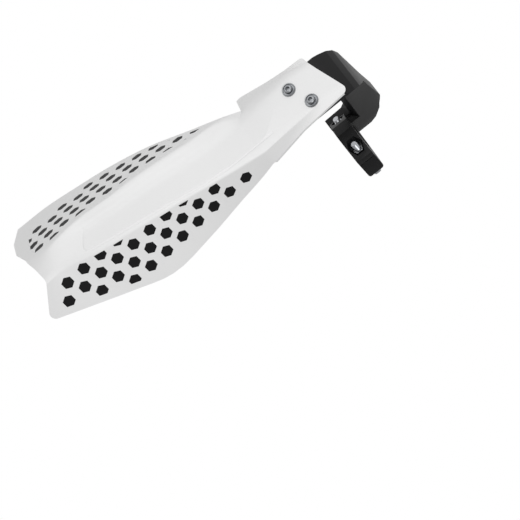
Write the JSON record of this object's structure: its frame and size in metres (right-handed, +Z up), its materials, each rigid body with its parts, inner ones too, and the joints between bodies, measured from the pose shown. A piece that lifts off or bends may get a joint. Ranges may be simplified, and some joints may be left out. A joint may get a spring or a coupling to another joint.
{
  "type": "motorcycle hand guard",
  "caption": "Motorcycle hand guard: a folded plastic shield with honeycomb holes on a bent plastic arm with a handlebar clamp.",
  "frame": {"origin": "centre of the bar clamp's bore, halfway along its width", "axes": "+X outboard along the handlebar, +Y forward along the clamp bolts, +Z up"},
  "size_m": [0.346, 0.1944, 0.1375],
  "materials": {
    "white_plastic": "smooth moulded polypropylene, faintly glossy",
    "black_sheet": "plain black plastic sheet",
    "black_nylon": "fine-grained glass-filled nylon",
    "zinc_steel": "bright zinc plate",
    "screw_steel": "plain stainless steel"
  },
  "bodies": {
    "root": {"shield": "white_plastic", "backing": "black_sheet", "arm": "black_nylon", "clamp_cap": "black_nylon", "clamp_bolts": "zinc_steel", "clamp_washers": "zinc_steel", "clamp_nuts": "zinc_steel", "shield_screws": "screw_steel", "screw_cups": "screw_steel", "screw_nuts": "zinc_steel"}
  },
  "joints": []
}
